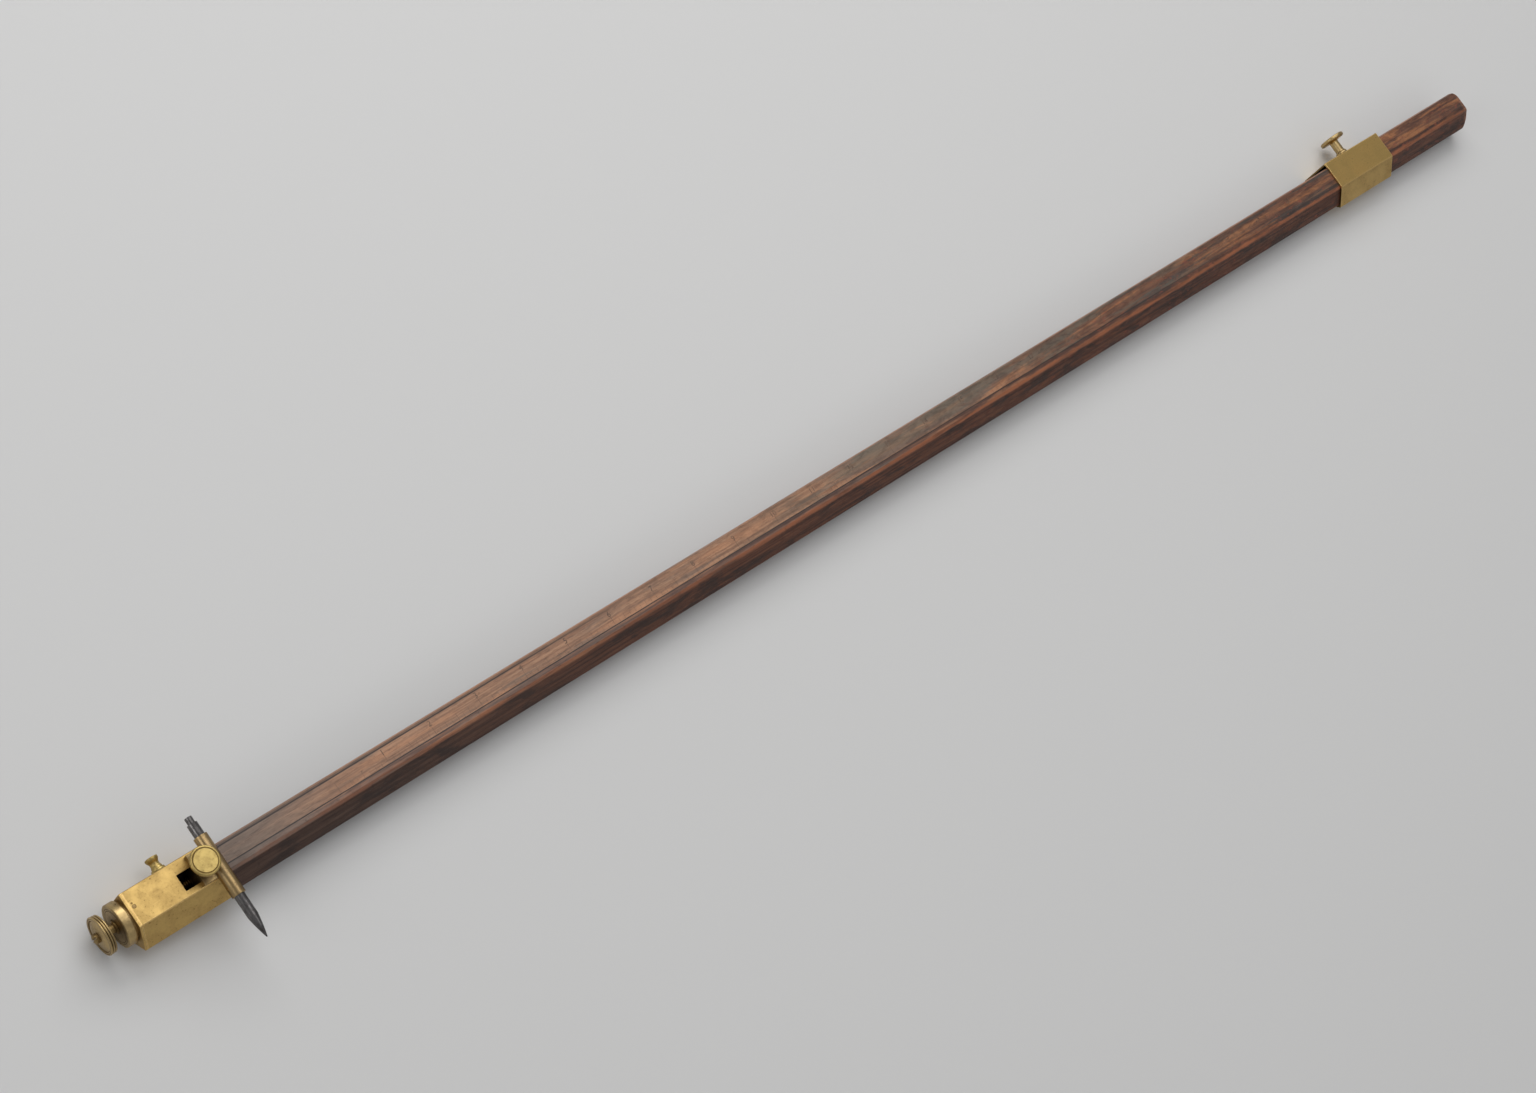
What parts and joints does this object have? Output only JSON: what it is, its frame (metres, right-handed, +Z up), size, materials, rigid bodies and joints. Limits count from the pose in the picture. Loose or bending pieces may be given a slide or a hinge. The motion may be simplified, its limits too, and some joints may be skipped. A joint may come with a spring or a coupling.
{
  "type": "beam compass",
  "caption": "Beam compass lying on one side: ridged wooden beam with an inlaid scale, brass head with a screw-adjusted steel point, and a sliding brass sleeve with a thumb screw.",
  "frame": {"origin": "on the surface that the part lies on, below the axis of the adjusting screw, halfway along the head's case", "axes": "+X along the beam away from the head, +Y to the upper edge in use, where the clamp screws stand, +Z up from the side that it lies on"},
  "size_m": [0.9074, 0.058, 0.0309],
  "materials": {
    "beam_wood": "worn satin",
    "slip_wood": "worn satin",
    "aged_brass": "aged satin",
    "dark_brass": "aged dull",
    "point_steel": "dark polished",
    "strip_steel": "blackened"
  },
  "bodies": {
    "beam": {"beam": "beam_wood", "scale_slip": "slip_wood", "head_case": "aged_brass", "end_plate": "aged_brass", "end_plate_pins": "dark_brass", "screw_collar": "aged_brass", "head_clamp_boss": "aged_brass"},
    "adjusting_screw": {"adjusting_screw": "dark_brass", "thrust_collar": "dark_brass", "adjusting_knob": "aged_brass", "knob_screw": "dark_brass"},
    "slide": {"slide_nut": "dark_brass", "slide_block": "aged_brass", "point_tube": "aged_brass", "slide_clamp_boss": "aged_brass"},
    "slide_clamp": {"slide_clamp_screw": "dark_brass", "slide_clamp_head": "aged_brass"},
    "point": {"steel_point": "point_steel"},
    "head_pad": {"head_clamp_pad": "dark_brass"},
    "head_clamp": {"head_clamp_screw": "dark_brass", "head_clamp_head": "aged_brass"},
    "sleeve": {"sleeve_case": "aged_brass", "sleeve_clamp_boss": "aged_brass"},
    "sleeve_pad": {"sleeve_clamp_pad": "strip_steel"},
    "sleeve_clamp": {"sleeve_clamp_screw": "dark_brass", "sleeve_clamp_head": "aged_brass"}
  },
  "joints": [
    {"name": "adjust_turn", "type": "hinge", "parent": "beam", "child": "adjusting_screw", "pos_m": [0, 0, 0.01], "axis": [1, 0, 0], "range_deg": [-790, 2440]},
    {"name": "fine_adjust", "type": "slide", "parent": "beam", "child": "slide", "axis": [1, 0, 0], "range_m": [-0.0068, 0.0022]},
    {"name": "slide_clamp_turn", "type": "hinge", "parent": "slide", "child": "slide_clamp", "pos_m": [0.0122, 0.0016, 0.03], "axis": [0, 0, 1], "range_deg": [0, 120]},
    {"name": "point_slide", "type": "slide", "parent": "slide", "child": "point", "axis": [0, 1, 0], "range_m": [-0.007, 0.01]},
    {"name": "head_clamp_lift", "type": "slide", "parent": "beam", "child": "head_pad", "axis": [0, 1, 0], "range_m": [0, 0.00035]},
    {"name": "head_clamp_turn", "type": "hinge", "parent": "head_pad", "child": "head_clamp", "pos_m": [0.0008, 0.012, 0.01], "axis": [0, 1, 0], "range_deg": [0, 181]},
    {"name": "sleeve_slide", "type": "slide", "parent": "beam", "child": "sleeve", "axis": [1, 0, 0], "range_m": [-0.7, 0.064]},
    {"name": "sleeve_clamp_lift", "type": "slide", "parent": "sleeve", "child": "sleeve_pad", "axis": [0, 1, 0], "range_m": [0, 0.00035]},
    {"name": "sleeve_clamp_turn", "type": "hinge", "parent": "sleeve_pad", "child": "sleeve_clamp", "pos_m": [0.7792, 0.012, 0.01], "axis": [0, 1, 0], "range_deg": [0, 181]}
  ],
  "couplings": [
    {"joint": "fine_adjust", "follows": "adjust_turn", "m_per_rad": -0.00015915},
    {"joint": "head_clamp_turn", "follows": "head_clamp_lift", "rad_per_m": 8976},
    {"joint": "sleeve_clamp_turn", "follows": "sleeve_clamp_lift", "rad_per_m": 8976}
  ]
}
